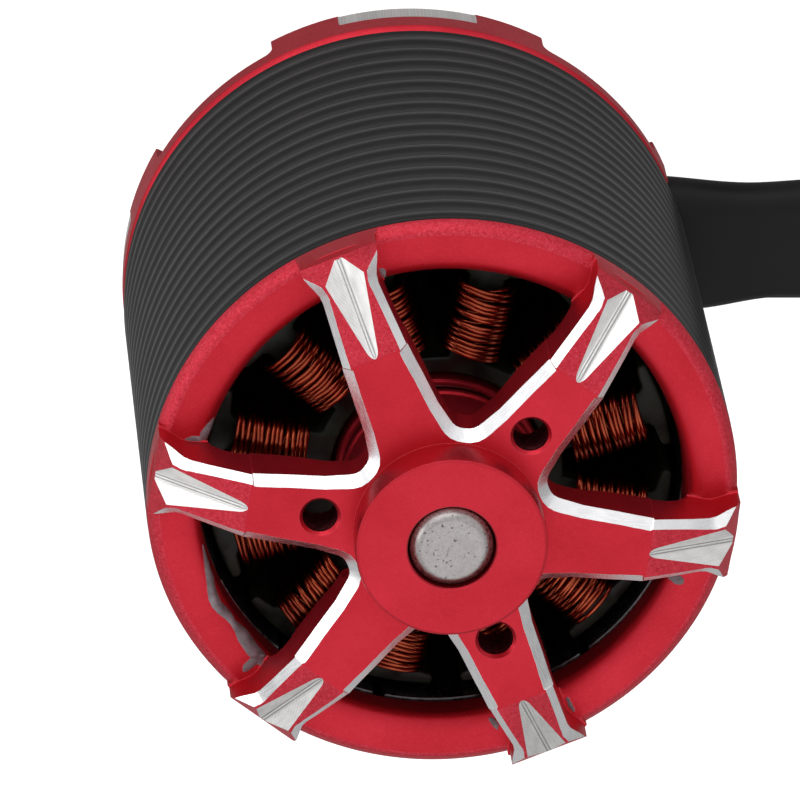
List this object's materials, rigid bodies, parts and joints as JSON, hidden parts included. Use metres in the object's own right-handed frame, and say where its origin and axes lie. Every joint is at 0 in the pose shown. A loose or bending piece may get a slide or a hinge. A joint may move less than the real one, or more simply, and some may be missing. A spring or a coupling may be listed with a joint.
{
  "type": "brushless outrunner motor",
  "caption": "Outrunner brushless motor: spoked front bell and ridged can turning on bearings round a wound stator, with a lugged rear mount and three leads.",
  "frame": {"origin": "centre of the rear mounting face, on the shaft axis", "axes": "+Z along the shaft from the mounting face towards the bell, +X towards the motor leads"},
  "size_m": [0.1366, 0.0422, 0.0501],
  "materials": {
    "red_anodised": "anodised red, bead-blasted, with bright machined chamfers",
    "core_coating": "black-green insulating coating over laminated steel",
    "copper_wire": "enamelled copper wire, glossy",
    "bearing_steel": "ground bearing steel",
    "cage_brass": "satin",
    "ground_steel": "ground, fine-grained",
    "black_oxide": "black oxide",
    "black_can": "black, satin, with fine turned ridges",
    "magnet": "nickel-plated, dark",
    "sleeve_black": "satin heat-shrink",
    "silicone_black": "matte silicone",
    "gold_plate": "gold plated, polished",
    "shrink_black": "satin heat-shrink"
  },
  "bodies": {
    "stator": {"mount_base": "red_anodised", "stator_core": "core_coating", "coil_1": "copper_wire", "coil_2": "copper_wire", "coil_3": "copper_wire", "coil_4": "copper_wire", "coil_5": "copper_wire", "coil_6": "copper_wire", "coil_7": "copper_wire", "coil_8": "copper_wire", "coil_9": "copper_wire", "coil_10": "copper_wire", "coil_11": "copper_wire", "coil_12": "copper_wire", "rear_bearing_outer_race": "bearing_steel", "rear_bearing_shield": "bearing_steel", "front_bearing_outer_race": "bearing_steel", "front_bearing_shield": "bearing_steel", "lead_sleeve": "sleeve_black", "lead_a": "silicone_black", "bullet_connector_a": "gold_plate", "connector_shrink_a": "shrink_black", "lead_b": "silicone_black", "bullet_connector_b": "gold_plate", "connector_shrink_b": "shrink_black", "lead_c": "silicone_black", "bullet_connector_c": "gold_plate", "connector_shrink_c": "shrink_black"},
    "rotor": {"bell": "red_anodised", "can": "black_can", "shaft": "ground_steel", "e_clip": "black_oxide", "shim_washer": "ground_steel", "grub_screw_1": "black_oxide", "grub_screw_2": "black_oxide", "rear_bearing_inner_race": "bearing_steel", "front_bearing_inner_race": "bearing_steel", "magnet_1": "magnet", "magnet_2": "magnet", "magnet_3": "magnet", "magnet_4": "magnet", "magnet_5": "magnet", "magnet_6": "magnet", "magnet_7": "magnet", "magnet_8": "magnet", "magnet_9": "magnet", "magnet_10": "magnet", "magnet_11": "magnet", "magnet_12": "magnet", "magnet_13": "magnet", "magnet_14": "magnet"},
    "rear_cage": {"rear_bearing_cage": "cage_brass"},
    "front_cage": {"front_bearing_cage": "cage_brass"}
  },
  "joints": [
    {"name": "rotor_spin", "type": "hinge", "parent": "stator", "child": "rotor", "pos_m": [0, 0, 0.025], "axis": [0, 0, 1], "continuous": true},
    {"name": "rear_cage_spin", "type": "hinge", "parent": "stator", "child": "rear_cage", "pos_m": [0, 0, 0.0044], "axis": [0, 0, 1], "continuous": true},
    {"name": "front_cage_spin", "type": "hinge", "parent": "stator", "child": "front_cage", "pos_m": [0, 0, 0.0347], "axis": [0, 0, 1], "continuous": true}
  ],
  "couplings": [
    {"joint": "rear_cage_spin", "follows": "rotor_spin", "ratio": 0.4474},
    {"joint": "front_cage_spin", "follows": "rotor_spin", "ratio": 0.4474}
  ]
}
